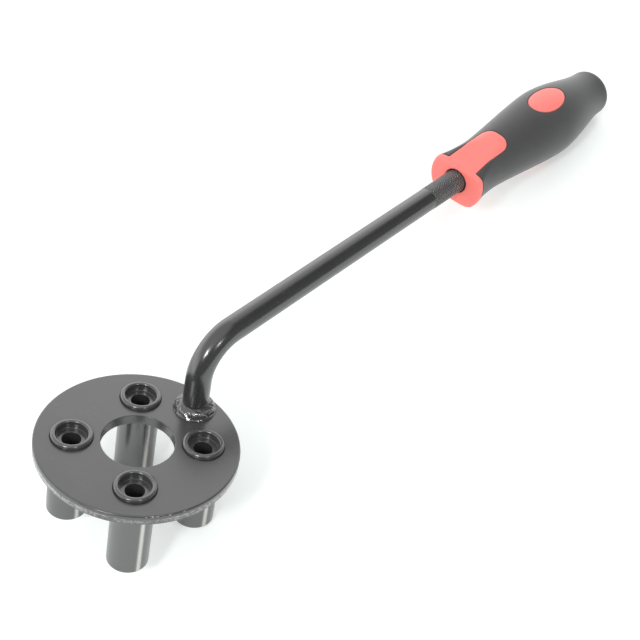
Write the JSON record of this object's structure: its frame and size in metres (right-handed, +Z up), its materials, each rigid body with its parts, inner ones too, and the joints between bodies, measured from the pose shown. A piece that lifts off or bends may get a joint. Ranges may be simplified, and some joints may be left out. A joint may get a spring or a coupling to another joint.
{
  "type": "clutch holder tool",
  "caption": "Hand tool that holds a clutch hub still: a round steel plate with hollow bolt-through posts, welded to a cranked bar with a red and black moulded handle.",
  "frame": {"origin": "on the bench, under the middle of the tool's bounding box, with the tool lying at rest on two post feet and the belly of its handle", "axes": "+X along the tool towards the handle's butt, +Y across the plate, +Z up from the bench"},
  "size_m": [0.4008, 0.09, 0.0752],
  "materials": {
    "plate_paint": "satin black over steel, worn bright on the rim",
    "post_paint": "semi-gloss black over turned steel",
    "bar_paint": "gloss black over drawn bar",
    "weld_steel": "bare rippled weld with thin black paint",
    "red_plastic": "smooth satin red",
    "black_rubber": "fine matt black soft-touch"
  },
  "bodies": {
    "root": {"base_plate": "plate_paint", "drive_post_1": "post_paint", "drive_post_2": "post_paint", "drive_post_3": "post_paint", "drive_post_4": "post_paint", "cranked_bar": "bar_paint", "weld_bead": "weld_steel", "handle_core": "red_plastic", "handle_sleeve": "black_rubber"}
  },
  "joints": []
}
